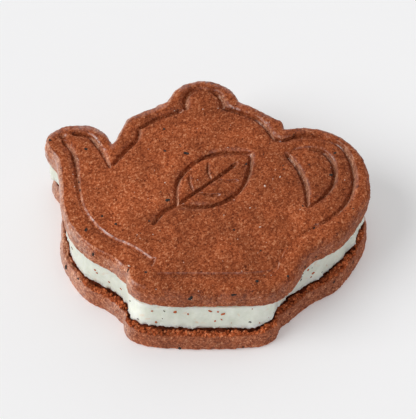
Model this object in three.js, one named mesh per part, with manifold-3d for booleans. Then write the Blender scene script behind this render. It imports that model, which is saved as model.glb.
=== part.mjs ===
// A chocolate sandwich biscuit cut as a teapot: two pressed biscuits with a thick layer of buttercream
// between them. Millimetres, +Z up, +X towards the handle and +Y towards the lid's knob.
// The lower biscuit rests on z = 0, and the origin is under the middle of the whole.
import * as THREE from "three";
import { ImprovedNoise } from "three/addons/math/ImprovedNoise.js";
import { mergeVertices } from "three/addons/utils/BufferGeometryUtils.js";
import Module from "manifold-3d";

// Layers, from the bottom up.
const BISCUIT_THICK = 5.5;
const FILLING_THICK = 6.5;
const FILLING_BOTTOM = BISCUIT_THICK;
const FILLING_TOP = FILLING_BOTTOM + FILLING_THICK;
const TOP_FACE = FILLING_TOP + BISCUIT_THICK;

// The teapot, measured from its middle line (x = 0) and the middle of its handle (y = 0).
const KNOB = { x: 0, y: 23.8, halfWidth: 8.6, height: 8.1, degrees: [10, 38, 64, 90, 116, 142, 171] };
const LID_NOTCH_LEFT = [-20.7, 12.4];
const LID_NOTCH_RIGHT = [18.9, 16.8];
const FOOT_NOTCH_LEFT = [-16.8, -24.4];
const HANDLE_REACH = 38;
const FOOT_FRONT = -30.5;

// What differs between the layers: the tip of the spout, and the right end of the foot, which spread on the
// upper biscuit and stayed crisp on the lower one.
const UPPER_SPOUT = [-36.5, 12];
const LOWER_SPOUT = [-34.7, 13.9];
const SPREAD_FOOT = { bend: [15.6, -29.3], corner: [19.7, -26.4], notch: [22.5, -20.9] };
const CRISP_FOOT = { bend: [13.2, -29.7], corner: [16.3, -27.8], notch: [17.3, -25] };

// The lines pressed into the upper biscuit.
const LINE_HALF_WIDTH = 1.15;
const LINE_DEPTH = 1.35;
const LINE_PITCH = 1.15;
const LINE_END_FADE = 0.9;
const FAINT = 0.5;
const VEIN = { depth: 0.65, width: 0.6 };

// How far hand-cut dough wanders from the cutter's line, and how rough its torn ledge is.
const EDGE_WANDER = 0.16;
const LEDGE_ROUGHNESS = 0.6;

// The upper rim is rounder where the dough spread most in the oven, and crisper opposite: the place, by how
// many times, and over what radius.
const RIM_SOFTNESS = [[30, -12, 1.1, 13], [-26, -14, -0.4, 12]];

// Where an edge stands out from its outline or stays behind it: the place, how far, and over what radius.
// The cutter dragged small lumps out along the lid, and the cream was pressed less far in some places.
const DRAGGED_LUMPS = [[-9.9, 24.4, 0.4, 0.8], [-17.4, 19.9, 0.4, 0.8], [18.5, 18.7, 0.4, 0.8]];
const UPPER_UNEVENNESS = [...DRAGGED_LUMPS, [14, -29.3, 0.3, 6], [35.5, 8, 0.2, 7], [8.2, 27, 0.25, 3]];
const LOWER_UNEVENNESS = [
  ...DRAGGED_LUMPS, [-32.3, -1.5, -0.5, 4], [-32.2, 9, 0.3, 2.5], [-30.3, -13, -0.35, 3],
  [-15.5, -29, 0.35, 3], [6, -30.5, 0.35, 13], [17, -28, 0.2, 3], [20.5, -22.5, 0.3, 3.5],
];
const CREAM_UNEVENNESS = [
  [-35.5, 9.5, -1.5, 3], [-32, -5, -0.6, 5], [-31, -9, -0.4, 3], [-19.5, -21.8, -0.35, 2],
  [-13.5, -29.5, 0.6, 2.5], [6.5, -30, 0.8, 8], [20, -22, -0.55, 2.2], [26.3, -17, 0.4, 1.5],
  [29.5, -15.5, -0.9, 4], [33.6, -10, -0.8, 2.2], [36.5, -5, -0.7, 2.8],
];

const wasm = await Module();
wasm.setup();
const crumb = new ImprovedNoise();

// The outline of one layer, anticlockwise from the right of the knob. Each run is smooth, and the runs
// meet in the notches of the cutter. The steps of a run stay the same, so any two outlines can be lofted.
function outline(spout, foot) {
  const knob = KNOB.degrees.map(knobPoint);
  const onSpout = (x, y) => [spout[0] + x, spout[1] + y];
  const runs = [
    { steps: 22, points: knob },
    { steps: 17, points: [knob.at(-1), [-12.9, 22.9], [-17.4, 19.9], [-19, 17], LID_NOTCH_LEFT] },
    { steps: 16, points: [LID_NOTCH_LEFT, [-22.4, 15.6], [-26.1, 17.9], onSpout(5, 5.8), onSpout(1.9, 4.2),
      onSpout(0.3, 1.8), spout] },
    { steps: 44, points: [spout, onSpout(0.9, -2.1), onSpout(3, -5.1), [-32.4, 0], [-31.7, -6.4],
      [-29.6, -12.2], [-25.6, -17.4], [-20.4, -20.9], FOOT_NOTCH_LEFT] },
    { steps: 38, points: [FOOT_NOTCH_LEFT, [-16.2, -27], [-13.2, -29.3], [-8, FOOT_FRONT + 0.1],
      [1, FOOT_FRONT], [9, FOOT_FRONT + 0.3], foot.bend, foot.corner, foot.notch] },
    { steps: 56, points: [foot.notch, [24.5, -18.8], [30.1, -15.2], [34.7, -9.2], [37.5, -3],
      [HANDLE_REACH, 2.2], [36.3, 9], [32, 14.3], [26.8, 16.9], [22.4, 17.4], LID_NOTCH_RIGHT] },
    { steps: 12, points: [LID_NOTCH_RIGHT, [18.4, 18.8], [13.5, 22.6], knob[0]] },
  ];
  return runs.flatMap(({ steps, points }) => smooth(points).getSpacedPoints(steps).slice(0, -1));
}

function knobPoint(degrees) {
  const angle = THREE.MathUtils.degToRad(degrees);
  return [KNOB.x + KNOB.halfWidth * Math.cos(angle), KNOB.y + KNOB.height * Math.sin(angle)];
}

// A smooth curve through points of the plan.
function smooth(points) {
  return new THREE.CatmullRomCurve3(points.map(([x, y]) => new THREE.Vector3(x, y, 0)), false, "centripetal");
}

// One level of a layer: the outline moved outwards by `grow`, shifted in the plan, and put at height z.
// `wander` is the unevenness of its edge, and `pits` is how deep its surface is torn.
function level(layer, { z, grow, shift = layer.shift, wander = EDGE_WANDER, pits = 0, softness = [] }) {
  const points = layer.outline;
  return points.map((point, i) => {
    const before = points.at(i - 2);
    const after = points[(i + 2) % points.length];
    const along = after.clone().sub(before).normalize();
    const coarse = crumb.noise(point.x / 4.3, point.y / 4.3, z / 3 + layer.seed);
    const fine = crumb.noise(point.x / 1.6, point.y / 1.6, z / 1.5 + layer.seed);
    const rounded = grow * (1 + bulge(point, softness));
    const out = rounded + wander * (1.6 * coarse + fine) + bulge(point, layer.unevenness);
    const torn = pits * Math.abs(crumb.noise(point.x / 1.3, point.y / 1.3, layer.seed + z));
    return new THREE.Vector3(
      point.x + along.y * out + shift[0],
      point.y - along.x * out + shift[1],
      z - torn,
    );
  });
}

// How much the places of an unevenness add up to at a point.
function bulge(point, unevenness) {
  return unevenness.reduce((sum, [x, y, reach, radius]) => {
    const distance = Math.hypot(point.x - x, point.y - y) / radius;
    return sum + reach * Math.exp(-distance * distance);
  }, 0);
}

// The side faces of a body through a row of rings with equally many points.
function walls(rings) {
  const count = rings[0].length;
  const faces = [];
  for (let k = 0; k + 1 < rings.length; k++) {
    for (let i = 0; i < count; i++) {
      const here = k * count + i;
      const next = k * count + ((i + 1) % count);
      faces.push(here, next, next + count, here, next + count, here + count);
    }
  }
  return faces;
}

// A closed body through a row of rings. `cap` splits the flat shape of an end ring into triangles.
function loft(rings, cap) {
  const last = (rings.length - 1) * rings[0].length;
  const start = cap(rings[0]).flatMap(([a, b, c]) => [a, c, b]);
  const end = cap(rings.at(-1)).flatMap(([a, b, c]) => [last + a, last + b, last + c]);
  return new THREE.BufferGeometry().setFromPoints(rings.flat()).setIndex([...walls(rings), ...start, ...end]);
}

function planCap(ring) {
  return THREE.ShapeUtils.triangulateShape(ring.map(({ x, y }) => new THREE.Vector2(x, y)), []);
}

function fanCap(ring) {
  return ring.slice(2).map((_, i) => [0, i + 1, i + 2]);
}

// The cutting body of one pressed line: a steep V with soft shoulders, which ends in short fades. Where the
// dough filled a line again, its depth falls to the share `filled.depth` over a part of its length.
function pressedLine({ points, depth = 1, width = 1, filled = { from: 0, to: 1, depth: 1 } }) {
  const section = [
    [-1, 0.1], [-0.6, -0.16], [-0.3, -0.84], [0, -1], [0.3, -0.84], [0.6, -0.16], [1, 0.1],
  ];
  const curve = smooth(points);
  const length = curve.getLength();
  const steps = Math.ceil(length / LINE_PITCH);
  const rings = [];
  for (let i = 0; i <= steps; i++) {
    const t = i / steps;
    const centre = curve.getPointAt(t);
    const along = curve.getTangentAt(t);
    const fromEnd = Math.min(1, (Math.min(t, 1 - t) * length) / LINE_END_FADE);
    const fade = 0.5 + 0.5 * Math.sqrt(fromEnd * (2 - fromEnd));
    const reach = LINE_HALF_WIDTH * width * fade;
    const share = 1 - (1 - filled.depth) * THREE.MathUtils.smoothstep(t, filled.from, filled.to);
    rings.push(section.map(([across, up]) => new THREE.Vector3(
      centre.x - along.y * across * reach,
      centre.y + along.x * across * reach,
      TOP_FACE + up * LINE_DEPTH * (up < 0 ? depth * share * fade : 1),
    )));
  }
  return loft(rings, fanCap);
}

function solid(geometry) {
  const merged = mergeVertices(geometry, 1e-4);
  return new wasm.Manifold(new wasm.Mesh({
    numProp: 3,
    vertProperties: merged.attributes.position.array,
    triVerts: new Uint32Array(merged.index.array),
  }));
}

function geometryOf(body) {
  const mesh = body.getMesh();
  return new THREE.BufferGeometry()
    .setAttribute("position", new THREE.BufferAttribute(mesh.vertProperties, 3))
    .setIndex(new THREE.BufferAttribute(mesh.triVerts, 1));
}

// The teapot drawn in the biscuit: spout, lid, knob, handle and foot.
const TEAPOT_LINES = [
  { points: [[-32.5, 13.1], [-30.4, 10.4], [-28.9, 5], [-28.1, -1.4], [-26.6, -7.4], [-23.6, -12.3],
    [-19.5, -15.9], [-16.1, -17.6], [-10.8, -21.7]], filled: { from: 0.1, to: 0.5, depth: 0.4 } },
  { points: [[-30.4, 14.7], [-28.5, 14.8], [-26.3, 14.2], [-23.9, 10.8], [-20.9, 4.6]] },
  { points: [[-20.9, 5.2], [-17.4, 10.2], [-15.1, 13.4], [-14.8, 16.8]] },
  { points: [[-15.2, 16.2], [-10.9, 19.2], [-4.4, 22.2]], depth: 0.8 },
  { points: [[-3.8, 22], [-4.2, 25.1], [-3.3, 27.4], [-0.9, 28.6], [1.6, 28.4]], width: 1.25,
    filled: { from: 0.5, to: 0.85, depth: 0.35 } },
  { points: [[4.5, 22.5], [4.4, 25.3], [3, 27.5], [0.7, 28.7]], width: 1.25,
    filled: { from: 0.55, to: 0.9, depth: 0.35 } },
  { points: [[4.3, 23], [8.1, 21.6], [12.2, 19.5], [14.7, 16.8], [16.4, 13.6], [18.8, 12.8]] },
  { points: [[17.5, 12.5], [22.5, 14.2], [27.8, 13.6], [32.1, 10.6], [34.2, 3.7], [33.4, -2.8], [30.6, -7.7],
    [26, -11.7]], filled: { from: 0.6, to: 0.95, depth: 0.6 } },
  { points: [[26.4, -11.4], [21.2, -15.2], [18, -18.4], [16.6, -21.8]], depth: FAINT },
  { points: [[23.4, -6.8], [27.5, -3.2], [29.8, 1.3], [29.5, 6.6], [26.9, 9.9], [22.6, 10.3], [19.3, 8.6]],
    filled: { from: 0.68, to: 0.85, depth: 0.45 } },
  { points: [[19, 9.2], [21.8, 4.3], [23.1, 0], [23.6, -6.9]], width: 1.1 },
  { points: [[-10.5, -20.9], [-11.4, -23.2], [-11.2, -25.6]], depth: 0.8 },
  { points: [[-11.8, -25.4], [0, -25.5], [12, -25.2], [15.7, -24.2], [16.6, -21.3]], depth: FAINT },
];

// A leaf on its stalk, in the middle of the pot.
const LEAF_LINES = [
  { points: [[-11.2, -11.8], [-8.8, -8], [-4.8, -5.1]] },
  { points: [[-5.9, -6.6], [-5.6, 1], [-1, 7], [4.6, 9.2], [11.5, 9]] },
  { points: [[-6.2, -5.8], [1, -6.4], [7.4, -3], [10.4, 3], [11, 9.6]] },
  { points: [[-5.6, -5.8], [0, -0.9], [8, 6.2]], width: 0.8 },
  { points: [[-1.8, -2.6], [-2.9, 0], [-3, 2.9]], ...VEIN },
  { points: [[2.2, 0.9], [1.2, 3.4], [1.3, 6.3]], ...VEIN },
  { points: [[-1.2, -2.2], [1.4, -3.3], [4.3, -3.2]], ...VEIN },
  { points: [[3, 1.7], [5.6, 0.7], [8.4, 1]], ...VEIN },
];

const teapot = {
  outline: outline(UPPER_SPOUT, SPREAD_FOOT), shift: [0, 0], seed: 11, unevenness: UPPER_UNEVENNESS,
};
const lowerTeapot = {
  outline: outline(LOWER_SPOUT, CRISP_FOOT), shift: [-0.5, -2.5], seed: 37, unevenness: LOWER_UNEVENNESS,
};
const creamTeapot = {
  outline: outline(UPPER_SPOUT, CRISP_FOOT), shift: [-0.3, -0.5], seed: 53, unevenness: CREAM_UNEVENNESS,
};

function upperBiscuit() {
  const body = loft([
    level(teapot, { z: FILLING_TOP, grow: -0.15 }),
    level(teapot, { z: FILLING_TOP + 0.8, grow: 0.1 }),
    level(teapot, { z: TOP_FACE - 2, grow: 0 }),
    level(teapot, { z: TOP_FACE - 0.95, grow: -0.16, softness: RIM_SOFTNESS }),
    level(teapot, { z: TOP_FACE - 0.4, grow: -0.5, wander: 0.1, softness: RIM_SOFTNESS }),
    level(teapot, { z: TOP_FACE - 0.1, grow: -1, wander: 0.05, softness: RIM_SOFTNESS }),
    level(teapot, { z: TOP_FACE, grow: -1.6, wander: 0, softness: RIM_SOFTNESS }),
  ], planCap);
  const lines = [...TEAPOT_LINES, ...LEAF_LINES].map((line) => solid(pressedLine(line)));
  const pressed = lines.reduce((all, line) => all.add(line));
  return geometryOf(solid(body).subtract(pressed));
}

function filling() {
  return loft([
    level(creamTeapot, { z: FILLING_BOTTOM, grow: -0.5, shift: [-0.3, -1.1], wander: 0.3 }),
    level(creamTeapot, { z: FILLING_BOTTOM + 1.2, grow: -0.5, shift: [-0.3, -0.9] }),
    level(creamTeapot, { z: FILLING_TOP - 1.5, grow: -0.65, wander: 0.1 }),
    level(creamTeapot, { z: FILLING_TOP, grow: -0.8, wander: 0.1 }),
  ], planCap);
}

function lowerBiscuit() {
  return loft([
    level(lowerTeapot, { z: 0, grow: 0.1 }),
    level(lowerTeapot, { z: 0.5, grow: 0.5 }),
    level(lowerTeapot, { z: 2.6, grow: 0.35 }),
    level(lowerTeapot, { z: BISCUIT_THICK - 0.7, grow: -0.2, pits: LEDGE_ROUGHNESS }),
    level(lowerTeapot, { z: BISCUIT_THICK - 0.2, grow: -0.9, pits: LEDGE_ROUGHNESS }),
    level(lowerTeapot, { z: BISCUIT_THICK, grow: -2, wander: 0 }),
  ], planCap);
}

function piece(name, geometry, color, roughness) {
  const mesh = new THREE.Mesh(geometry, new THREE.MeshStandardMaterial({ color, roughness, metalness: 0 }));
  mesh.name = name;
  return mesh;
}

const cookie = new THREE.Group();
cookie.add(piece("biscuit_bottom", lowerBiscuit(), "#8a4f38", 0.9));
cookie.add(piece("filling", filling(), "#d9decd", 0.6));
cookie.add(piece("biscuit_top", upperBiscuit(), "#955030", 0.9));

const middle = new THREE.Box3().setFromObject(cookie).getCenter(new THREE.Vector3());
cookie.position.set(-middle.x, -middle.y, 0);

export default cookie;
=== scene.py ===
"""A teapot-shaped chocolate sandwich biscuit on a pale light table: a cocoa shortbread pressed with a teapot
and a leaf, a thick layer of mint buttercream and a plain shortbread. Metres, +Z up, the solids' own frame."""
import itertools
import math

import bmesh
import bpy
import numpy as np
from mathutils import Matrix, Vector
from mathutils.bvhtree import BVHTree


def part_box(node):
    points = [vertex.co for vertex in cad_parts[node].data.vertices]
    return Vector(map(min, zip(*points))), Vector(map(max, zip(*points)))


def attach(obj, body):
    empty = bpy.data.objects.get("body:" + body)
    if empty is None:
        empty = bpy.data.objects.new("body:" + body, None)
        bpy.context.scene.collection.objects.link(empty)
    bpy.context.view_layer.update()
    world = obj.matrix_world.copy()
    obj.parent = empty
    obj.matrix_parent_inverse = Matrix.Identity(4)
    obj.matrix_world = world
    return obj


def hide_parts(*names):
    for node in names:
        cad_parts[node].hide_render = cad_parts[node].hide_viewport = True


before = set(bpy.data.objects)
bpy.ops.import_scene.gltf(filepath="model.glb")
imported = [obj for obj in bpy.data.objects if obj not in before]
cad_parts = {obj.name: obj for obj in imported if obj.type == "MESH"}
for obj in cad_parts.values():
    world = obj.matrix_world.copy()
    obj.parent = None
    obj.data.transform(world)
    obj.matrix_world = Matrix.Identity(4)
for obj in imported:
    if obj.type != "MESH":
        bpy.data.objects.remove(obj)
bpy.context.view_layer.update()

MM = 0.001
RENDER_WIDTH = 416
RENDER_HEIGHT = 419

# The heights at which the three layers meet, read from the solids.
PLATE = 0.0
CREAM_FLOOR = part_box("filling")[0].z
CREAM_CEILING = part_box("filling")[1].z
TOP_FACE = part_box("biscuit_top")[1].z


def linear(hex_colour):
    """An sRGB hex colour as the linear RGBA that a shader wants."""
    channels = [int(hex_colour[i:i + 2], 16) / 255 for i in (1, 3, 5)]
    return (*[c / 12.92 if c <= 0.04045 else ((c + 0.055) / 1.055) ** 2.4 for c in channels], 1.0)


def add(tree, kind, inputs=None, stops=None, **settings):
    """Adds a node: settings are its own attributes, an input is a value or another node's output, and stops
    are the places and colours of a ramp."""
    made = tree.nodes.new(kind)
    for name, value in settings.items():
        setattr(made, name, value)
    for name, value in (inputs or {}).items():
        if isinstance(value, bpy.types.NodeSocket):
            tree.links.new(value, made.inputs[name])
        else:
            made.inputs[name].default_value = value
    if stops:
        ramp = made.color_ramp.elements
        while len(ramp) < len(stops):
            ramp.new(1.0)
        for element, (place, colour) in zip(ramp, stops):
            element.position = place
            element.color = linear(colour)
    return made


# -------------------------------------------------------------------------------------- camera and light

CAMERA_ELEVATION = math.radians(52)
CAMERA_DISTANCE = 450 * MM
CAMERA_TARGET = Vector((0.4, 0.74, 8)) * MM
CAMERA_NEAR = 0.01
CAMERA_FAR = 20
# The focal length in pixels of the render.
CAMERA_PIXELS = 1957
SENSOR = 36
CAMERA_BACK = Vector((0, -math.cos(CAMERA_ELEVATION), math.sin(CAMERA_ELEVATION)))
CAMERA_UP = Vector((0, math.sin(CAMERA_ELEVATION), math.cos(CAMERA_ELEVATION)))
CAMERA_PLACE = CAMERA_TARGET + CAMERA_BACK * CAMERA_DISTANCE


def place_camera():
    data = bpy.data.cameras.new("camera")
    data.sensor_width = SENSOR
    data.lens = CAMERA_PIXELS * SENSOR / RENDER_HEIGHT
    data.clip_start = CAMERA_NEAR
    data.clip_end = CAMERA_FAR
    camera = bpy.data.objects.new("camera", data)
    camera.location = CAMERA_PLACE
    camera.rotation_euler = (math.pi / 2 - CAMERA_ELEVATION, 0, 0)
    bpy.context.collection.objects.link(camera)
    bpy.context.scene.camera = camera


def sight_line(pixel):
    """The direction from the camera through a pixel of the render."""
    across = (pixel[0] - RENDER_WIDTH / 2) / CAMERA_PIXELS
    up = (RENDER_HEIGHT / 2 - pixel[1]) / CAMERA_PIXELS
    return (Vector((across, 0, 0)) + CAMERA_UP * up - CAMERA_BACK).normalized()


# A wide softbox low on the left and a little in front, a weak one behind on the right, and even light from
# all round: name, elevation, direction from +X in degrees, spread and strength.
SOFTBOXES = [
    ("softbox", 38, 194, 44, 1.9),
    ("back_softbox", 30, 66, 80, 0.52),
]
ROOM_STRENGTH = 0.465
BOARD_GLOW = 0.175
SWEEP_REACH = 1.5


def light_studio():
    for name, elevation, direction, spread, strength in SOFTBOXES:
        data = bpy.data.lights.new(name, "SUN")
        data.energy = strength
        data.angle = math.radians(spread)
        softbox = bpy.data.objects.new(name, data)
        softbox.rotation_euler = (math.radians(90 - elevation), 0, math.radians(direction + 90))
        bpy.context.collection.objects.link(softbox)
    world = bpy.data.worlds.new("room")
    world.use_nodes = True
    world.node_tree.nodes["Background"].inputs["Color"].default_value = linear("#ffffff")
    world.node_tree.nodes["Background"].inputs["Strength"].default_value = ROOM_STRENGTH
    bpy.context.scene.world = world
    bpy.context.scene.view_settings.view_transform = "Standard"


def lay_sweep():
    corners = [(x * SWEEP_REACH, y * SWEEP_REACH, 0) for x, y in ((-1, -1), (1, -1), (1, 1), (-1, 1))]
    mesh = bpy.data.meshes.new("sweep")
    mesh.from_pydata(corners, [], [(0, 1, 2, 3)])
    sweep = bpy.data.objects.new("sweep", mesh)
    bpy.context.collection.objects.link(sweep)
    sweep.data.materials.append(opal_light_table())


def opal_light_table():
    """Opal acrylic lit from below: even and pale, it lifts its own shadows and lights the biscuit's sides."""
    material = bpy.data.materials.new("opal_light_table")
    material.use_nodes = True
    shader = material.node_tree.nodes["Principled BSDF"]
    shader.inputs["Base Color"].default_value = linear("#e3e3e4")
    shader.inputs["Roughness"].default_value = 0.9
    shader.inputs["Specular IOR Level"].default_value = 0.1
    shader.inputs["Emission Color"].default_value = linear("#ffffff")
    shader.inputs["Emission Strength"].default_value = BOARD_GLOW
    return material


# -------------------------------------------------------------------------------------- crumb in the mesh

# Odd numbers that stir the bits of a lattice corner, one for each axis, one for the seed and two to finish.
AXIS_STIR = (73856093, 19349663, 83492791)
SEED_STIR = 2654435761
LAST_STIRS = ((15, 2246822519), (13, 3266489917))
NOISE_LEVELS = 65536


def grain_noise(points, size, seed):
    """Smooth noise from -1 to 1 with a lump about every `size` metres, the same on every run."""
    scaled = points / size
    cell = np.floor(scaled).astype(np.int64)
    within = scaled - cell
    fade = within * within * (3 - 2 * within)
    total = np.zeros(len(points))
    for corner in itertools.product((0, 1), repeat=3):
        key = (cell + corner).astype(np.uint64) * np.array(AXIS_STIR, dtype=np.uint64)
        mixed = key[:, 0] ^ key[:, 1] ^ key[:, 2] ^ np.uint64(seed * SEED_STIR)
        for shift, stir in LAST_STIRS:
            mixed = (mixed ^ (mixed >> np.uint64(shift))) * np.uint64(stir)
        value = ((mixed >> np.uint64(9)) % np.uint64(NOISE_LEVELS)).astype(float) / (NOISE_LEVELS / 2) - 1
        total += value * np.prod(np.where(corner, fade, 1 - fade), axis=1)
    return total


def between(value, low, high):
    """0 below low, 1 above high and smooth between them."""
    t = np.clip((value - low) / (high - low), 0, 1)
    return t * t * (3 - 2 * t)


def spots(points, places):
    """How strongly soft spots reach each point of the plan: places are x, y, how much and radius, in
    millimetres."""
    total = np.zeros(len(points))
    for x, y, amount, radius in places:
        away = np.hypot(points[:, 0] - x * MM, points[:, 1] - y * MM) / (radius * MM)
        total += amount * np.exp(-away ** 2)
    return total


def fine_copy(node, name, voxel, softening):
    """The node's own form as a fine even mesh, its facets softened, as (object, points, outward normals)."""
    piece = bpy.data.objects.new(name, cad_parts[node].data.copy())
    bpy.context.collection.objects.link(piece)
    even = piece.modifiers.new("even", "REMESH")
    even.mode = "VOXEL"
    even.voxel_size = voxel
    even.use_smooth_shade = True
    soften = piece.modifiers.new("soften", "SMOOTH")
    soften.iterations = softening
    fine = bpy.data.meshes.new_from_object(piece.evaluated_get(bpy.context.evaluated_depsgraph_get()))
    piece.modifiers.clear()
    piece.data = fine
    fine.materials.clear()
    return piece, read(fine, "co"), read(fine, "normal")


def read(mesh, name):
    values = np.empty(len(mesh.vertices) * 3)
    mesh.vertices.foreach_get(name, values)
    return values.reshape(-1, 3)


def reshape(piece, points):
    piece.data.vertices.foreach_set("co", points.reshape(-1))
    piece.data.update()


def mark(piece, name, values):
    """Keeps one number for each point of the mesh, which its material reads."""
    layer = piece.data.attributes.new(name, "FLOAT", "POINT")
    layer.data.foreach_set("value", values.astype(np.float32))


def finish_piece(piece, material, node=None):
    piece.data.materials.append(material)
    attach(piece, "root")
    if node:
        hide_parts(node)


# Heights of the shortbread's relief. Upright sides are rougher than level faces, and smeared ones smoother.
ROLLED_WAVE = 0.06 * MM
CRUMB_RELIEF = 0.045 * MM
GRAIN_RELIEF = 0.05 * MM
SIDE_ROUGHER = 2.2
SMEAR_FLATTENS = 0.6


def sandy(points, normals, smear_and_sheen, seed):
    """Baked shortbread's own relief: a slow wave from rolling, and crumbs of flour and sugar, which lie
    flatter where `smear_and_sheen` is 1."""
    wave = ROLLED_WAVE * grain_noise(points, 5 * MM, seed)
    crumbs = CRUMB_RELIEF * grain_noise(points, 1.0 * MM, seed + 1)
    grains = GRAIN_RELIEF * grain_noise(points, 0.5 * MM, seed + 2)
    rougher = 1 + SIDE_ROUGHER * (1 - np.abs(normals[:, 2]))
    return points + normals * (wave + (crumbs + grains) * rougher * (1 - SMEAR_FLATTENS * smear_and_sheen))[:, None]


def facing_left(normals):
    """How far a side faces the spout's end and the softbox. There the cut dough has most smear, and its paler
    colour is partly painted light.
    """
    steep = np.hypot(normals[:, 0], normals[:, 1])
    return between(-normals[:, 0] / np.maximum(steep, 0.01), 0.35, 0.95) * between(steep, 0.2, 0.5)


def facing_back(normals):
    """How far a side faces the knob's end."""
    return between(normals[:, 1], 0.06, 0.45)


def facing_foot(normals):
    """How far a wall faces the spout's end or the foot, where the pressed lines shine."""
    return between(-0.75 * normals[:, 0] - 0.66 * normals[:, 1], 0.05, 0.3)


def cutter_film(normals):
    """How much butter lies on a side: a little everywhere, most towards the spout and the knob."""
    return 0.15 + 0.85 * np.maximum(0.9 * facing_left(normals), 0.7 * facing_back(normals))


def side_smear_and_sheen(normals):
    """How much an upright side is paler: a little real smear everywhere, most at the spout's end up to a
    sharp edge, where the paler colour is partly painted light.
    """
    left = facing_left(normals)
    return (1 - between(normals[:, 2] - 0.3 * left, 0.3, 0.66)) * (0.2 + 0.8 * left)


# -------------------------------------------------------------------------------------- the upper biscuit

# How the dough lies beside a pressed line: it sank softly over this width, and the line itself went deeper.
SHOULDER = 0.85 * MM
SHOULDER_CELL = 0.25 * MM
SHOULDER_SINK = 0.9
LINE_DEEPER = 0.2
# The mean height is blurred over this many cells on either side, and needs this many shoulders of margin.
BLUR_CELLS = 12
BLUR_MARGIN = 5
# How far a faded line rises back to the face, where it lies less deep than this.
RISEN = 0.85
RISEN_DEEPEST = 2 * MM
RISEN_DEEP = 1.5 * MM


def sink_beside_lines(points, drawn, faded):
    """The points of the drawn face with soft shoulders beside the pressed lines: what stands above the mean
    height round it sinks, and what lies below it goes deeper, or rises where the line is faded."""
    corner = points[:, :2].min(0) - BLUR_MARGIN * SHOULDER
    place = (points[:, :2] - corner) / SHOULDER_CELL
    shape = np.ceil(place.max(0) + BLUR_MARGIN * SHOULDER / SHOULDER_CELL).astype(int)
    face = drawn > 0
    cell = np.ravel_multi_index(tuple(place[face].astype(int).T), shape)
    depth = np.bincount(cell, points[face, 2] - TOP_FACE, shape.prod())
    mean = (depth / np.maximum(np.bincount(cell, minlength=shape.prod()), 1)).reshape(shape)
    reach = np.arange(-BLUR_CELLS, BLUR_CELLS + 1) * SHOULDER_CELL / SHOULDER
    kernel = np.exp(-reach ** 2 / 2) / np.exp(-reach ** 2 / 2).sum()
    for _ in range(2):
        mean = np.array([np.convolve(row, kernel, "same") for row in mean]).T
    low = np.floor(place - 0.5).astype(int)
    part = place - 0.5 - low
    around = np.zeros(len(points))
    for step in itertools.product((0, 1), repeat=2):
        weight = np.prod(np.where(step, part, 1 - part), axis=1)
        around += weight * mean[low[:, 0] + step[0], low[:, 1] + step[1]]
    above = points[:, 2] - TOP_FACE - around
    move = np.where(above > 0, -SHOULDER_SINK, LINE_DEEPER * (1 - faded) - faded) * above
    sunk = points.copy()
    sunk[:, 2] += drawn * move
    high = between(points[:, 2], TOP_FACE - RISEN_DEEPEST, TOP_FACE - RISEN_DEEP)
    sunk[:, 2] += RISEN * high * faded ** 2 * (TOP_FACE - sunk[:, 2])
    return sunk


# Mesh sizes: the upper biscuit carries the finest detail.
UPPER_MESH = 0.22 * MM
LOWER_MESH = 0.25 * MM

# The rim is round, and sharper by this share towards the spout. The side ends and the face begins at these
# shares of its radius below the top.
ROUND_RIM = 1.7 * MM
LEFT_SHARPER = 0.8
SIDE_ENDS = 1.3
FACE_BEGINS = 0.6
DRAWING_MARGIN = 2.3 * MM
MARGIN_BLEND = 1.3

# The band along the knob's side of the rim slopes off a little and shines. The shine fades to the right.
BACK_BAND = 2.2 * MM
BACK_SLOPE = 0.2 * MM
BACK_BLEND = 0.6 * MM
BACK_SHINE_EDGE = 1.0 * MM
BACK_SHINE = 1.05
BACK_SHINE_LOSS = 0.9
BACK_SHINE_FADES = (4 * MM, 24 * MM)

# How steep the dough has to turn down for a film to show, as ranges of the normal's height.
RIM_TURN = (0.82, 0.985)
BACK_TURN = (0.9, 0.998)
SHOULDER_TURN = (0.93, 0.993)
# A painted highlight along the rim's edge towards the spout lies where the normal's height is in this band.
RIM_HIGHLIGHT_FROM = (0.45, 0.6)
RIM_HIGHLIGHT_TO = (0.85, 0.95)
RIM_HIGHLIGHT = 0.8

# The film thins out deep in a pressed line. There, and in the dents, a painted shade darkens the dough.
SHOULDER_DEPTH = (0.3 * MM, 0.6 * MM)
DEEP_FILM_LOSS = 0.9
PRESSED_DEPTH = (0.35 * MM, 1.1 * MM)
GROOVE_SHADE = 0.9
DENT_SHADE = 1.3
# The side's lowest edge touches the cream: it has no smear or film, and is paler, in part painted light from
# it.
DRY_ABOVE_CREAM = (0.2 * MM, 0.6 * MM)
EDGE_PALER_AND_CREAM_LIGHT = 1.5

# Spots darker (above 0) or paler (below 0): partly uneven tone, partly painted light and painted shade.
UPPER_TONE_LIGHT_AND_SHADE = [
    (-1, 26, 0.7, 6), (24, 4, 0.5, 5), (0, -26, 0.3, 8), (33.5, 8, 0.8, 6), (16, -4, -0.5, 7),
    (-24, 2, -0.9, 11), (-17, -8, -0.6, 8), (-6, 8, -0.8, 8), (5, 24.5, 0.9, 1.8),
]
# Where the dough rose back into a pressed line, and small dents, whose amount is a depth in millimetres.
UPPER_FADED = [
    (-12.0, -22.6, 0.95, 1.7), (-12.1, -24.3, 0.6, 1.3), (16.5, -19.5, 0.6, 4), (18.8, -14.5, 0.5, 3),
    (6, -25, 0.15, 8),
]
UPPER_DENTS = [(-33.2, 14.9, 0.9, 0.8)]


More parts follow.
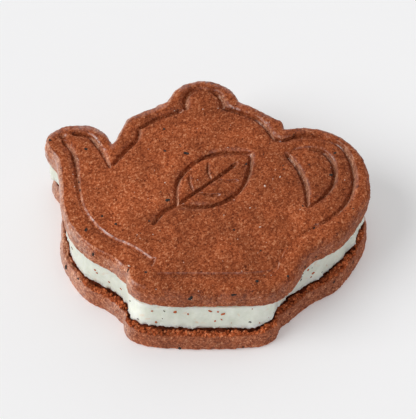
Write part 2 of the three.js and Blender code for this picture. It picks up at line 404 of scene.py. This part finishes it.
def upper_film(points, normals, drawn, faded, back_band):
    """The film of butter on the rim, on the walls of pressed lines and along the knob's side, in patches."""
    turned = 1 - between(normals[:, 2], *RIM_TURN)
    back_rim = np.maximum(facing_back(normals) * (1 - between(normals[:, 2], *BACK_TURN)), back_band)
    back_rim *= BACK_SHINE - BACK_SHINE_LOSS * between(points[:, 0], *BACK_SHINE_FADES)
    shallow = 1 - DEEP_FILM_LOSS * between(TOP_FACE - points[:, 2], *SHOULDER_DEPTH)
    shoulder = (1 - between(normals[:, 2], *SHOULDER_TURN)) * shallow
    dragged = drawn * (0.1 + 0.9 * facing_foot(normals)) * (1 - faded) ** 2 * shoulder
    crumbled = 0.65 + 0.9 * grain_noise(points, 1.8 * MM, 28) + 0.7 * grain_noise(points, 0.55 * MM, 29)
    on_rim = (1 - drawn) * np.maximum(turned * cutter_film(normals), back_rim)
    return np.clip(crumbled, 0.1, 1.2) * np.maximum(dragged, on_rim)


def make_upper_biscuit():
    piece, points, normals = fine_copy("biscuit_top", "upper_biscuit", UPPER_MESH, 1)
    rim = ROUND_RIM * (1 - LEFT_SHARPER * facing_left(normals))
    side = 1 - between(points[:, 2], TOP_FACE - SIDE_ENDS * rim, TOP_FACE - FACE_BEGINS * rim)
    edge = rim_of("biscuit_top", CREAM_CEILING)
    inside = -distance_outside(points, edge, side < 1)
    drawn = between(inside, DRAWING_MARGIN, MARGIN_BLEND * DRAWING_MARGIN) * (1 - side)
    faded = np.clip(spots(points, UPPER_FADED), 0, 1)
    points = sink_beside_lines(points, drawn, faded)
    behind = -distance_outside(points + (0, BACK_BAND, 0), edge, side < 1)
    back_band = (1 - between(behind, -BACK_SHINE_EDGE, BACK_BLEND)) * (side < 1)
    points[:, 2] -= BACK_SLOPE * (1 - between(behind, -BACK_BAND, BACK_BLEND)) * (side < 1)
    dents = spots(points, UPPER_DENTS) * (1 - side)
    points[:, 2] -= dents * MM
    reshape(piece, points)
    normals = read(piece.data, "normal")
    # A painted highlight: a pale line along the rim's edge towards the spout.
    rim_highlight = between(normals[:, 2], *RIM_HIGHLIGHT_FROM) * (1 - between(normals[:, 2], *RIM_HIGHLIGHT_TO)) * (1 - drawn)
    # Painted shade deep in the pressed lines.
    pressed = drawn * between(TOP_FACE - points[:, 2], *PRESSED_DEPTH)
    dry = between(points[:, 2] - CREAM_CEILING, *DRY_ABOVE_CREAM)
    # Paler sides: a little real smear, more towards the spout where it is partly painted light, and the
    # painted highlight along the rim.
    smear_and_sheen = np.clip(side_smear_and_sheen(normals) * side * dry + RIM_HIGHLIGHT * rim_highlight * facing_left(normals), 0, 1)
    film = dry * upper_film(points, normals, drawn, faded, back_band)
    points = sandy(points, normals, smear_and_sheen, 3)
    reshape(piece, points)
    mark(piece, "smear_and_sheen", smear_and_sheen)
    mark(piece, "film", film)
    # Painted shade in the pressed lines and dents, with the spots of tone, painted light and painted shade.
    darker = GROOVE_SHADE * pressed + DENT_SHADE * dents + spots(points, UPPER_TONE_LIGHT_AND_SHADE)
    # Paler at the side's lowest edge beside the cream: in part painted light from the cream.
    mark(piece, "tone_light_and_shade", darker - EDGE_PALER_AND_CREAM_LIGHT * (1 - dry) * side)
    finish_piece(piece, cocoa_shortbread(), "biscuit_top")
    return piece


# -------------------------------------------------------------------------------------- the lower biscuit

# The ledge beside the cream is crumbly: a gap runs along the cream's foot, with pits and a ridge outside it.
LEDGE_HEIGHT = (4.3 * MM, 5.0 * MM)
GAP_DEPTH = 0.85 * MM
GAP_WIDTH = 0.7 * MM
GAP_UNDER_CREAM = (-0.8 * MM, -0.2 * MM)
GAP_TEETH = 0.5 * MM
LEDGE_PITS = 0.9 * MM
LEDGE_RIDGE = 0.45 * MM
RIDGE_HEIGHT = (5.0 * MM, 5.3 * MM)
# The ledge is darker out to here: fat soaked in beside the cream, with painted shade under its edge.
SOAK_AND_SHADE_FROM = 0.1 * MM
SOAK_AND_SHADE_WIDTH = 1.8 * MM
# At the spout's end the ledge is worn smooth and pale from this far left.
WORN_LEFT = (27 * MM, 30 * MM)
WORN_AWAY = (0.15 * MM, 0.5 * MM)
WORN_WAVE = 0.2 * MM
# How much the lower side is paler: real smear, with painted light towards the spout.
SIDE_SMEAR_AND_SHEEN = 0.9
# The side has a thin film, and is paler near the table: painted light that lifts the shade along the foot.
SIDE_TURN = (0.75, 0.97)
SIDE_FILM = 0.8
FOOT_HEIGHT = (0.4 * MM, 1.0 * MM)
FOOT_PAINTED_LIGHT = 1.4
# Painted light: a paler spot on the side at the spout's end, where the light falls.
LOWER_PAINTED_LIGHT = [(-31.2, -17, -0.8, 6)]
# Loose crumbs lie this far from the cream.
CRUMBS_NEAREST = 0.4 * MM
CRUMBS_FARTHEST = 2.4 * MM


def make_lower_biscuit():
    """The lower biscuit, and the points of its ledge on which loose crumbs may lie."""
    piece, points, normals = fine_copy("biscuit_bottom", "lower_biscuit", LOWER_MESH, 1)
    ledge = between(points[:, 2], *LEDGE_HEIGHT)
    away = distance_outside(points, rim_of("filling", CREAM_FLOOR), ledge > 0)
    teeth = grain_noise(points, 0.9 * MM, 24)
    near = between(away, *GAP_UNDER_CREAM) * (1 - between(away - GAP_TEETH * teeth, 0.0, GAP_WIDTH))
    ragged = np.clip(0.35 + 1.3 * grain_noise(points, 1.1 * MM, 27), 0.0, 1.1)
    lumps = grain_noise(points, 1.3 * MM, 25)
    coarse = np.abs(grain_noise(points, 1.0 * MM, 21))
    fine = np.abs(grain_noise(points, 0.5 * MM, 22))
    pits = coarse + 0.6 * fine - 0.6 * lumps
    low = 1 - between(points[:, 2], *RIDGE_HEIGHT)
    ridge = ledge * low * np.maximum(grain_noise(points, 1.1 * MM, 26), 0)
    worn = ledge * between(-points[:, 0], *WORN_LEFT) * between(away + WORN_WAVE * lumps, *WORN_AWAY)
    # Paler sides: real smear, partly painted light towards the spout, and the worn ledge at the spout's end.
    smear_and_sheen = np.maximum(SIDE_SMEAR_AND_SHEEN * side_smear_and_sheen(normals) * (1 - ledge), worn)
    frayed = away + (0.7 * lumps + 0.4 * teeth) * MM
    # Darker beside the cream: partly soaked fat, partly painted shade.
    soaked = ledge * (1 - between(frayed, SOAK_AND_SHADE_FROM, SOAK_AND_SHADE_WIDTH)) * (1 - worn)
    points = sandy(points, normals, smear_and_sheen, 5)
    points[:, 2] -= ledge * near * ragged * GAP_DEPTH
    points += normals * (ridge * LEDGE_RIDGE - ledge * pits * LEDGE_PITS)[:, None]
    points[:, 2] = np.maximum(points[:, 2], PLATE)
    reshape(piece, points)
    mark(piece, "smear_and_sheen", smear_and_sheen)
    mark(piece, "soaked", soaked)
    upright = 1 - between(normals[:, 2], *SIDE_TURN)
    mark(piece, "film", SIDE_FILM * upright * cutter_film(normals) * (1 - ledge))
    # Painted light: paler along the foot and at the spout's end.
    foot = FOOT_PAINTED_LIGHT * between(points[:, 2], *FOOT_HEIGHT) - FOOT_PAINTED_LIGHT
    mark(piece, "tone_light_and_shade", foot + spots(points, LOWER_PAINTED_LIGHT))
    finish_piece(piece, cocoa_shortbread(), "biscuit_bottom")
    beside = (away > CRUMBS_NEAREST) & (away < CRUMBS_FARTHEST)
    return piece, points[beside & (ledge > 0.5) & (worn < 0.3)]


def rim_of(node, height):
    """The edges round a node's flat face at a height, as an array of pairs of points in the plan."""
    mesh = bmesh.new()
    mesh.from_mesh(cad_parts[node].data)
    bmesh.ops.remove_doubles(mesh, verts=mesh.verts, dist=0.001 * MM)
    edges = []
    for edge in mesh.edges:
        level = all(abs(corner.co.z - height) < 0.01 * MM for corner in edge.verts)
        flat = sum(abs(face.normal.z) > 0.999 for face in edge.link_faces)
        if level and flat == 1:
            edges.append([corner.co.xy[:] for corner in edge.verts])
    mesh.free()
    return np.array(edges)


# Points are taken in this many batches, to keep the tables of distances small.
BATCHES = 40
FAR_OUTSIDE = 1.0


def distance_outside(points, rim, wanted):
    """How far each wanted point lies outside a closed rim, in the plan; inside it is below 0. The rest are
    far outside."""
    start, end = rim[:, 0], rim[:, 1]
    along = end - start
    length = (along ** 2).sum(1)
    result = np.full(len(points), FAR_OUTSIDE)
    for part in np.array_split(np.flatnonzero(wanted), BATCHES):
        spot = points[part, None, :2]
        t = np.clip(((spot - start) * along).sum(2) / length, 0, 1)
        distance = np.sqrt(((start + along * t[..., None] - spot) ** 2).sum(2).min(1))
        y = spot[..., 1]
        crosses = (start[:, 1] > y) != (end[:, 1] > y)
        rise = np.where(along[:, 1] == 0, 1, along[:, 1])
        x = start[:, 0] + (y - start[:, 1]) / rise * along[:, 0]
        inside = (crosses & (x > spot[..., 0])).sum(1) % 2 == 1
        result[part] = np.where(inside, -distance, distance)
    return result


# -------------------------------------------------------------------------------------- the cream

# The cream's wall: a slow bulge, fine upright drag marks, and a torn lip at its foot.
BULGE = 0.08 * MM
UPRIGHT_STRETCH = 0.12
DRAG_MARKS = 0.035 * MM
WALL_GRAIN = 0.02 * MM
LIP_HEIGHT = (0.2 * MM, 1.1 * MM)
LIP_COARSE = 0.28 * MM
LIP_FINE = 0.15 * MM
# Painted light: spots where the cream is whiter (above 0) or greyer, where more light falls on its front.
CREAM_PAINTED_LIGHT = [(-15, -29, 0.9, 4), (12, -28, 0.9, 6), (-1, -30, 0.2, 8), (26, -15, 0.25, 9)]


def make_cream():
    piece, points, normals = fine_copy("filling", "cream", LOWER_MESH, 2)
    wall = 1 - between(np.abs(normals[:, 2]), 0.3, 0.8)
    wave = BULGE * grain_noise(points, 3.5 * MM, 31)
    marks = DRAG_MARKS * grain_noise(points * (1, 1, UPRIGHT_STRETCH), 0.7 * MM, 32)
    drawn = marks + WALL_GRAIN * grain_noise(points, 0.45 * MM, 33)
    lip = 1 - between(points[:, 2] - CREAM_FLOOR, *LIP_HEIGHT)
    torn = LIP_COARSE * grain_noise(points, 0.9 * MM, 34) + LIP_FINE * grain_noise(points, 0.45 * MM, 35)
    points = points + normals * ((wave + drawn + lip * torn) * wall)[:, None]
    reshape(piece, points)
    # Painted light on the cream's front.
    mark(piece, "painted_light", spots(points, CREAM_PAINTED_LIGHT))
    finish_piece(piece, mint_buttercream(), "filling")
    return piece


# -------------------------------------------------------------------------------------- small things

def ball(rounds):
    """A ball's corners and triangles, 1 across."""
    mesh = bmesh.new()
    bmesh.ops.create_icosphere(mesh, subdivisions=rounds, radius=0.5)
    corners = np.array([corner.co[:] for corner in mesh.verts])
    faces = np.array([[corner.index for corner in face.verts] for face in mesh.faces])
    mesh.free()
    return corners, faces


# How unevenly a pebble is knocked about, and how long and wide it is for its size.
KNOCKED = (0.65, 1.25)
LENGTH = (0.9, 1.3)
WIDTH = (0.6, 0.9)


def scatter(name, places, flatness, sunk, rounds, seed, material):
    """One rough little pebble for each place (point, normal, size), all joined into one piece. It lies flat
    on its face, `flatness` times as high as its size and `sunk` of its height deep."""
    rng = np.random.default_rng(seed)
    corners, faces = ball(rounds)
    all_corners = []
    all_faces = []
    for number, (point, normal, size) in enumerate(places):
        out = Vector(normal).normalized()
        turned = Matrix.Rotation(rng.uniform(0, math.tau), 3, out) @ out.orthogonal().normalized()
        axes = np.array([turned[:], out.cross(turned)[:], out[:]])
        knocked = corners * rng.uniform(*KNOCKED, (len(corners), 1))
        stretched = knocked * (size * rng.uniform(*LENGTH), size * rng.uniform(*WIDTH), size * flatness)
        centre = np.array(point) + np.array(out) * size * flatness * (0.5 - sunk)
        all_corners.append(stretched @ axes + centre)
        all_faces.append(faces + number * len(corners))
    mesh = bpy.data.meshes.new(name)
    mesh.from_pydata(np.concatenate(all_corners).tolist(), [], np.concatenate(all_faces).tolist())
    piece = bpy.data.objects.new(name, mesh)
    bpy.context.collection.objects.link(piece)
    finish_piece(piece, material)
    return piece


def seen_at(pixel, trees):
    """The nearest point, with its normal, that the camera sees on the pieces at a pixel of the render."""
    hits = [tree.ray_cast(CAMERA_PLACE, sight_line(pixel)) for tree in trees]
    hits = [hit for hit in hits if hit[0] is not None]
    return min(hits, key=lambda hit: hit[3])[:2]


def placed(pixels, trees):
    """Places (point, normal, size) for pixels of the render with a size in millimetres."""
    return [(*seen_at(pixel[:2], trees), pixel[2] * MM) for pixel in pixels]


def anywhere_on(piece, count, low, high, rng):
    """Random points, with their normals, of a piece between two heights."""
    points = read(piece.data, "co")
    normals = read(piece.data, "normal")
    rows = rng.choice(np.flatnonzero((points[:, 2] > low) & (points[:, 2] < high)), count, replace=False)
    return [(points[row], normals[row]) for row in rows]


# Pixels of the render at which a black fleck lies, with its size in millimetres.
FLECKS_IN_VIEW = [
    (50, 140, 0.9), (86, 149, 1.0), (93, 254, 1.3), (191, 298, 1.2), (233, 295, 1.3), (335, 153, 0.9),
    (246, 164, 0.8), (186, 153, 1.2), (165, 151, 0.8), (168, 200, 1.4), (288, 276, 0.8), (257, 281, 0.9),
    (316, 257, 0.7), (305, 267, 0.7), (331, 175, 0.9), (66, 267, 1.2), (78, 279, 0.8), (180, 348, 1.0),
    (353, 262, 0.8), (334, 282, 0.9), (346, 278, 0.7), (243, 347, 0.7), (314, 228, 0.9), (80, 190, 0.9),
    (79, 182, 0.7), (128, 270, 0.9), (146, 272, 1.0), (116, 224, 0.8), (164, 129, 0.8), (149, 221, 0.7),
    (102, 216, 0.8), (72, 248, 0.7), (234, 230, 0.7), (86, 230, 1.2), (303, 206, 0.7),
]
# The same for crystals of sugar that stayed whole, and for biscuit crumbs and flecks that stick in the cream.
SUGAR_IN_VIEW = [
    (265, 186, 0.6), (280, 177, 0.5), (129, 266, 0.7), (250, 208, 0.5), (260, 227, 0.6), (224, 215, 0.4),
]
CREAM_CRUMBS_IN_VIEW = [
    (152, 311, 0.6), (175, 312, 0.9), (210, 311, 0.8), (218, 312, 0.6), (223, 314, 0.9), (95, 270, 0.6),
    (97, 273, 0.5), (156, 322, 0.6), (121, 289, 0.6), (308, 270, 0.7), (313, 273, 0.8), (311, 277, 0.6),
    (109, 282, 0.5), (188, 314, 0.5), (215, 321, 0.5),
]
CREAM_FLECKS_IN_VIEW = [
    (164, 311, 0.6), (250, 322, 0.8), (138, 319, 0.5), (130, 301, 0.6), (301, 280, 0.7), (303, 274, 0.6),
    (344, 243, 0.4), (308, 266, 0.4), (312, 268, 0.35), (322, 272, 0.5), (302, 277, 0.4), (354, 235, 0.4),
    (351, 238, 0.35), (347, 241, 0.3),
]
BARE_MARGIN = 0.3 * MM
ABOVE_ALL = 1.0
# How many small things lie at random on each layer, and their sizes in millimetres.
UPPER_FLECKS = 90
LOWER_FLECKS = 50
CREAM_FLECKS = 14
SUGAR_CRYSTALS = 70
CREAM_CRUMBS = 24
LEDGE_CRUMBS = 520
FLECK_SIZES = (0.2, 0.45)
CRYSTAL_SIZES = (0.2, 0.35)
LEDGE_CRUMB_SIZES = (0.35, 1.05)
# Ledge crumbs are tipped about at random, and paler than the ledge, which soaked fat and a painted shade
# darken.
LEDGE_TIP = 0.5
LEDGE_CRUMB_PALER = 1.7


def make_flecks(upper, cream, lower, trees):
    rng = np.random.default_rng(41)
    places = placed(FLECKS_IN_VIEW + CREAM_FLECKS_IN_VIEW, trees)
    for piece, count, low, high in (
        (upper, UPPER_FLECKS, CREAM_CEILING + BARE_MARGIN, ABOVE_ALL),
        (lower, LOWER_FLECKS, PLATE + BARE_MARGIN, CREAM_FLOOR - BARE_MARGIN),
        (cream, CREAM_FLECKS, CREAM_FLOOR + BARE_MARGIN, CREAM_CEILING - BARE_MARGIN),
    ):
        spread = anywhere_on(piece, count, low, high, rng)
        places += [(*spot, rng.uniform(*FLECK_SIZES) * MM) for spot in spread]
    scatter("tea_flecks", places, 0.35, 0.7, 2, 42, dried_tea())


def make_sugar(upper, trees):
    rng = np.random.default_rng(43)
    places = placed(SUGAR_IN_VIEW, trees)
    spread = anywhere_on(upper, SUGAR_CRYSTALS, CREAM_CEILING + BARE_MARGIN, ABOVE_ALL, rng)
    places += [(*spot, rng.uniform(*CRYSTAL_SIZES) * MM) for spot in spread]
    scatter("sugar_crystals", places, 0.7, 0.55, 1, 44, raw_sugar())


def make_crumbs(cream, ledge, trees):
    rng = np.random.default_rng(45)
    places = placed(CREAM_CRUMBS_IN_VIEW, trees)
    spread = anywhere_on(cream, CREAM_CRUMBS, CREAM_FLOOR + BARE_MARGIN, CREAM_CEILING - BARE_MARGIN, rng)
    places += [(*spot, rng.uniform(*FLECK_SIZES) * MM) for spot in spread]
    scatter("cream_crumbs", places, 0.45, 0.5, 2, 46, toasted_crumb())
    rows = rng.choice(len(ledge), LEDGE_CRUMBS, replace=False)
    tilts = rng.normal(0, LEDGE_TIP, (LEDGE_CRUMBS, 3)) + (0, 0, 1)
    places = [(ledge[row], tilt, rng.uniform(*LEDGE_CRUMB_SIZES) * MM) for row, tilt in zip(rows, tilts)]
    crumbs = scatter("ledge_crumbs", places, 0.75, 0.45, 2, 47, cocoa_shortbread())
    mark(crumbs, "tone_light_and_shade", np.full(len(crumbs.data.vertices), -LEDGE_CRUMB_PALER))


# -------------------------------------------------------------------------------------- finishes

def blank(name):
    """A new material, with its tree and its shader."""
    material = bpy.data.materials.new(name)
    material.use_nodes = True
    return material, material.node_tree, material.node_tree.nodes["Principled BSDF"]


SUGAR_GRAIN = 0.27 * MM
COCOA_GRAIN = 0.5 * MM
CRUMB = 1.0 * MM
BAKING_PATCH = 4 * MM
ROLLED_PATCH = 12 * MM
GRAIN_BUMP = 0.12 * MM


def cocoa_shortbread():
    """Cocoa shortbread, rolled, pressed and baked: matt and sandy, with paler grains of sugar and flour and
    darker cocoa between them. A painted shade darkens the pressed lines and dents, and spots of tone, painted
    light and painted shade make it paler or darker here and there. Cut sides have a paler smear, partly
    painted light towards the spout, and a film of butter on them shines. Beside the cream, fat darkens the
    torn biscuit, and a painted shade darkens the gap along the cream's foot."""
    if "cocoa_shortbread" in bpy.data.materials:
        return bpy.data.materials["cocoa_shortbread"]
    material, tree, shader = blank("cocoa_shortbread")
    place = add(tree, "ShaderNodeTexCoord").outputs["Object"]
    # Attributes: smear with painted light, tone with painted light and shade, soaked fat with painted shade,
    # the film.
    smear = add(tree, "ShaderNodeAttribute", attribute_name="smear_and_sheen").outputs["Fac"]
    darker = add(tree, "ShaderNodeAttribute", attribute_name="tone_light_and_shade").outputs["Fac"]
    soaked = add(tree, "ShaderNodeAttribute", attribute_name="soaked").outputs["Fac"]
    film = add(tree, "ShaderNodeAttribute", attribute_name="film").outputs["Fac"]
    sugar = add(tree, "ShaderNodeTexVoronoi", {"Vector": place, "Scale": 1 / SUGAR_GRAIN})
    cocoa = add(tree, "ShaderNodeTexVoronoi", {"Vector": place, "Scale": 1 / COCOA_GRAIN})
    crumb = add(tree, "ShaderNodeTexNoise", {
        "Vector": place, "Scale": 1 / CRUMB, "Detail": 4.0, "Roughness": 0.7,
    })
    patch = add(tree, "ShaderNodeTexNoise", {"Vector": place, "Scale": 1 / BAKING_PATCH, "Detail": 2.0})
    rolled = add(tree, "ShaderNodeTexNoise", {"Vector": place, "Scale": 1 / ROLLED_PATCH, "Detail": 1.0})
    coarse = add(tree, "ShaderNodeMix", {
        "Factor": 0.55, 2: cocoa.outputs["Color"], 3: crumb.outputs["Fac"],
    }, data_type="FLOAT")
    grains = add(tree, "ShaderNodeMix", {
        "Factor": 0.58, 2: sugar.outputs["Color"], 3: coarse.outputs[0],
    }, data_type="FLOAT")
    baked = add(tree, "ShaderNodeValToRGB", {"Fac": grains.outputs[0]}, stops=[
        (0.16, "#4a1a0b"), (0.38, "#7c381a"), (0.5, "#934927"), (0.62, "#a85b36"), (0.84, "#cf926c"),
    ])
    # The paler colours of smear; on sides facing the spout they are partly painted light.
    smear_and_sheen = add(tree, "ShaderNodeValToRGB", {"Fac": grains.outputs[0]}, stops=[
        (0.16, "#6f3a28"), (0.38, "#95593f"), (0.5, "#aa6d51"), (0.62, "#c18768"), (0.84, "#efc2a4"),
    ])
    dough = add(tree, "ShaderNodeMix", {
        "Factor": smear, 6: baked.outputs["Color"], 7: smear_and_sheen.outputs["Color"],
    }, data_type="RGBA")
    # Darker or paler by the tone, painted light and painted shade.
    dark = add(tree, "ShaderNodeMapRange", {
        "Value": darker, "From Min": -2.0, "From Max": 1.0, "To Min": 1.5, "To Max": 0.75,
    })
    # Darker beside the cream: soaked fat, partly painted shade.
    fat_and_shade = add(tree, "ShaderNodeMix", {
        "Factor": soaked, 6: dough.outputs[2], 7: linear("#823a1b"),
    }, data_type="RGBA")
    # Painted shade: nearly black in the gap along the cream's foot.
    wet = add(tree, "ShaderNodeMapRange", {"Value": soaked, "From Min": 0.6, "From Max": 1.0, "To Max": 0.7})
    torn = add(tree, "ShaderNodeMix", {
        "Factor": wet.outputs["Result"], 6: fat_and_shade.outputs[2], 7: linear("#44180b"),
    }, data_type="RGBA")
    mottling = add(tree, "ShaderNodeMix", {
        "Factor": 0.4, 2: patch.outputs["Fac"], 3: rolled.outputs["Fac"],
    }, data_type="FLOAT")
    shade = add(tree, "ShaderNodeMapRange", {
        "Value": mottling.outputs[0], "From Min": 0.35, "From Max": 0.65, "To Min": 0.87, "To Max": 1.25,
    })
    tone = add(tree, "ShaderNodeMath", {
        0: shade.outputs["Result"], 1: dark.outputs["Result"],
    }, operation="MULTIPLY")
    toned = add(tree, "ShaderNodeVectorMath", {
        0: torn.outputs[2], 1: tone.outputs["Value"],
    }, operation="MULTIPLY")
    tree.links.new(toned.outputs["Vector"], shader.inputs["Base Color"])
    bump = add(tree, "ShaderNodeBump", {"Height": grains.outputs[0], "Strength": 0.6, "Distance": GRAIN_BUMP})
    tree.links.new(bump.outputs["Normal"], shader.inputs["Normal"])
    tree.links.new(film, shader.inputs["Coat Weight"])
    shader.inputs["Coat Roughness"].default_value = 0.32
    shader.inputs["Coat IOR"].default_value = 1.9
    shader.inputs["Roughness"].default_value = 0.85
    shader.inputs["Specular IOR Level"].default_value = 0.15
    return material


CREAM_CLOUD = 3 * MM
CREAM_STAIN = 1.6 * MM
LIGHT_DEPTH = 2.5 * MM


def mint_buttercream():
    """Mint buttercream, spread and pressed flat: smooth and satin, and light goes a little way into it. Cocoa
    from the biscuits stains it here and there."""
    material, tree, shader = blank("mint_buttercream")
    place = add(tree, "ShaderNodeTexCoord").outputs["Object"]
    cloud = add(tree, "ShaderNodeTexNoise", {
        "Vector": place, "Scale": 1 / CREAM_CLOUD, "Detail": 6.0, "Roughness": 0.7,
    })
    tint = add(tree, "ShaderNodeValToRGB", {"Fac": cloud.outputs["Fac"]}, stops=[
        (0.35, "#d2d6c8"), (0.65, "#e1e4d8"),
    ])
    blot = add(tree, "ShaderNodeTexNoise", {"Vector": place, "Scale": 1 / CREAM_STAIN, "Detail": 2.0})
    stain = add(tree, "ShaderNodeMapRange", {
        "Value": blot.outputs["Fac"], "From Min": 0.62, "From Max": 0.74, "To Max": 0.4,
    })
    stained = add(tree, "ShaderNodeMix", {
        "Factor": stain.outputs["Result"], 6: tint.outputs["Color"], 7: linear("#d8a273"),
    }, data_type="RGBA")
    # Painted light: whiter at the spots marked on the cream.
    painted_light = add(tree, "ShaderNodeAttribute", attribute_name="painted_light")
    shade = add(tree, "ShaderNodeMapRange", {
        "Value": painted_light.outputs["Fac"], "From Min": -1.0, "From Max": 1.0, "To Min": 0.75, "To Max": 1.25,
    })
    shaded = add(tree, "ShaderNodeVectorMath", {
        0: stained.outputs[2], 1: shade.outputs["Result"],
    }, operation="MULTIPLY")
    tree.links.new(shaded.outputs["Vector"], shader.inputs["Base Color"])
    shader.inputs["Roughness"].default_value = 0.5
    shader.inputs["Subsurface Weight"].default_value = 0.7
    shader.inputs["Subsurface Radius"].default_value = (1.0, 1.0, 0.85)
    shader.inputs["Subsurface Scale"].default_value = LIGHT_DEPTH
    return material


TEA_FIBRE = 0.25 * MM
CRYSTAL_FROST = 0.2 * MM
TOASTED_GRAIN = 0.3 * MM


def dried_tea():
    """Black tea leaf, broken fine and baked in: nearly black and matt."""
    material, tree, shader = blank("dried_tea")
    place = add(tree, "ShaderNodeTexCoord").outputs["Object"]
    fibre = add(tree, "ShaderNodeTexNoise", {"Vector": place, "Scale": 1 / TEA_FIBRE, "Detail": 2.0})
    tint = add(tree, "ShaderNodeValToRGB", {"Fac": fibre.outputs["Fac"]}, stops=[
        (0.35, "#1c1817"), (0.65, "#453c38"),
    ])
    tree.links.new(tint.outputs["Color"], shader.inputs["Base Color"])
    shader.inputs["Roughness"].default_value = 0.8
    shader.inputs["Specular IOR Level"].default_value = 0.15
    return material


def raw_sugar():
    """Coarse sugar: clear little crystals that look whitish, with a spark of light on them."""
    material, tree, shader = blank("raw_sugar")
    place = add(tree, "ShaderNodeTexCoord").outputs["Object"]
    frost = add(tree, "ShaderNodeTexNoise", {"Vector": place, "Scale": 1 / CRYSTAL_FROST, "Detail": 2.0})
    tint = add(tree, "ShaderNodeValToRGB", {"Fac": frost.outputs["Fac"]}, stops=[
        (0.35, "#c89a80"), (0.65, "#f0ddd0"),
    ])
    tree.links.new(tint.outputs["Color"], shader.inputs["Base Color"])
    shader.inputs["Roughness"].default_value = 0.25
    return material


def toasted_crumb():
    """A crumb of the biscuit pressed into wet cream: its fat soaked it orange-brown."""
    material, tree, shader = blank("toasted_crumb")
    place = add(tree, "ShaderNodeTexCoord").outputs["Object"]
    grain = add(tree, "ShaderNodeTexNoise", {"Vector": place, "Scale": 1 / TOASTED_GRAIN, "Detail": 2.0})
    tint = add(tree, "ShaderNodeValToRGB", {"Fac": grain.outputs["Fac"]}, stops=[
        (0.35, "#9c3f08"), (0.65, "#c65e14"),
    ])
    tree.links.new(tint.outputs["Color"], shader.inputs["Base Color"])
    shader.inputs["Roughness"].default_value = 0.6
    return material


place_camera()
light_studio()
lay_sweep()
upper_biscuit = make_upper_biscuit()
cream_layer = make_cream()
lower_biscuit, ledge_points = make_lower_biscuit()
bpy.context.view_layer.update()
graph = bpy.context.evaluated_depsgraph_get()
surfaces = [BVHTree.FromObject(piece, graph) for piece in (upper_biscuit, cream_layer, lower_biscuit)]
make_flecks(upper_biscuit, cream_layer, lower_biscuit, surfaces)
make_sugar(upper_biscuit, surfaces)
make_crumbs(cream_layer, ledge_points, surfaces)
